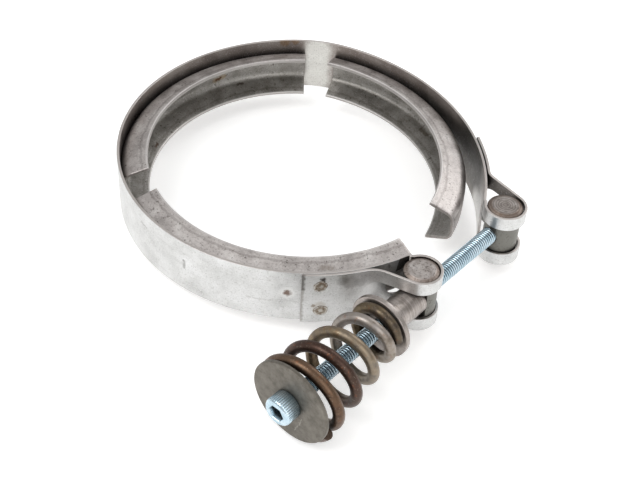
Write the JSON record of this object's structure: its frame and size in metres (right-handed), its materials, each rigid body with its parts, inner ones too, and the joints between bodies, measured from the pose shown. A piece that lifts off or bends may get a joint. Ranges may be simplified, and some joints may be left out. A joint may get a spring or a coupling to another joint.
{
  "type": "exhaust clamp",
  "caption": "V-band exhaust clamp: a strip ring with V-section segments inside, closed by a screw through trunnion pins, with a conical spring under its washer.",
  "frame": {"origin": "centre of the ring that the front and left segments grip, on the clamp's middle plane", "axes": "+Z along the ring's axis; +Y along the closing screw, from its head to the nut pin; +X from the ring's centre towards the screw"},
  "size_m": [0.1561, 0.1561, 0.0313],
  "materials": {
    "band": "cold-rolled stainless strip, light handling scratches, welds",
    "segments": "rolled stainless sheet, speckled",
    "pins": "turned steel, tarnished",
    "sleeve": "turned steel",
    "spring": "heat-tinted spring wire, brown to grey",
    "washer": "matte, dull",
    "screw": "blue passivated zinc plating"
  },
  "bodies": {
    "clamp": {"band": "band", "v_segment_front": "segments", "v_segment_left": "segments", "v_segment_right": "segments", "front_pin": "pins", "nut_pin": "pins", "flanged_sleeve": "sleeve", "conical_spring": "spring"},
    "pressure_washer": {"washer": "washer"},
    "closing_screw": {"screw": "screw"}
  },
  "joints": [
    {"name": "screw_advance", "type": "slide", "parent": "clamp", "child": "pressure_washer", "axis": [0, 1, 0], "range_m": [0, 0.014], "deforming": ["conical_spring"]},
    {"name": "screw_spin", "type": "hinge", "parent": "pressure_washer", "child": "closing_screw", "pos_m": [0.07258, -0.0865, 0], "axis": [0, 1, 0], "range_deg": [0, 5040]}
  ],
  "couplings": [
    {"joint": "screw_spin", "follows": "screw_advance", "rad_per_m": 6283.2}
  ]
}
